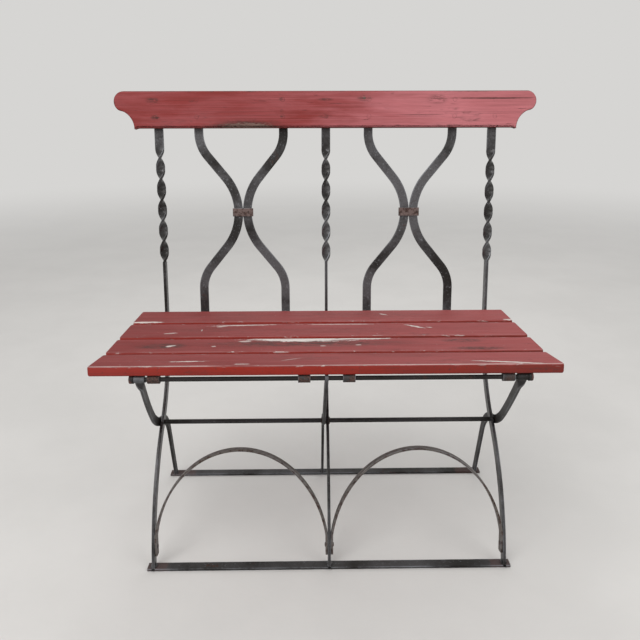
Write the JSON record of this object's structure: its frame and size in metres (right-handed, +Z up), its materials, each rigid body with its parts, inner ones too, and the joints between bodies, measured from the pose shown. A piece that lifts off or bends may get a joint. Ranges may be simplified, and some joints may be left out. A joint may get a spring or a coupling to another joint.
{
  "type": "folding garden bench",
  "caption": "Folding two-seat bistro bench: flat-bar iron frame with twisted uprights, crossed scroll bars and floor arches, painted wooden slats, seat and legs that fold together.",
  "frame": {"origin": "on the floor, at the middle of the bench's bounding box seen from above", "axes": "+Z up, the bench's front faces -Y, +X towards the right end as seen from the front"},
  "size_m": [0.85, 0.4605, 0.8794],
  "materials": {
    "back_wood": "worn dusty red paint over old pine, satin",
    "seat_wood": "sun-bleached red paint with bare patches, satin",
    "painted_screws": "screw heads painted over with the slat",
    "rusty_iron": "brown rust, rough",
    "batten_iron": "dark iron with rust at the rolled ends",
    "frame_iron": "dark grey weathered iron with rust spots"
  },
  "bodies": {
    "back_frame": {"top_slat": "back_wood", "upright_left": "frame_iron", "upright_centre": "frame_iron", "upright_right": "frame_iron", "scroll_left_outer": "frame_iron", "scroll_left_inner": "frame_iron", "scroll_right_inner": "frame_iron", "scroll_right_outer": "frame_iron", "collar_left": "rusty_iron", "collar_right": "rusty_iron", "rear_rod": "frame_iron", "rear_nuts": "rusty_iron", "pivot_rod": "rusty_iron", "front_rail": "frame_iron", "arch_left": "frame_iron", "arch_right": "frame_iron", "arch_rivets": "rusty_iron", "top_screws": "painted_screws", "pivot_washers": "rusty_iron"},
    "leg_frame": {"leg_left": "frame_iron", "leg_centre": "frame_iron", "leg_right": "frame_iron", "rear_rail": "frame_iron", "hinge_rod": "rusty_iron"},
    "seat": {"seat_slat_front": "seat_wood", "seat_slat_second": "seat_wood", "seat_slat_third": "seat_wood", "seat_slat_rear": "seat_wood", "batten_left": "batten_iron", "batten_inner_left": "batten_iron", "batten_inner_right": "batten_iron", "batten_right": "batten_iron", "seat_screws": "rusty_iron"}
  },
  "joints": [
    {"name": "legs_fold", "type": "hinge", "parent": "back_frame", "child": "leg_frame", "pos_m": [0, 0.03856, 0.231], "axis": [1, 0, 0], "range_deg": [-60, 0]},
    {"name": "seat_tip", "type": "hinge", "parent": "leg_frame", "child": "seat", "pos_m": [0, -0.22319, 0.44493], "axis": [1, 0, 0], "range_deg": [0, 156]}
  ],
  "couplings": [
    {"joint": "seat_tip", "follows": "legs_fold", "ratio": -2.6}
  ]
}
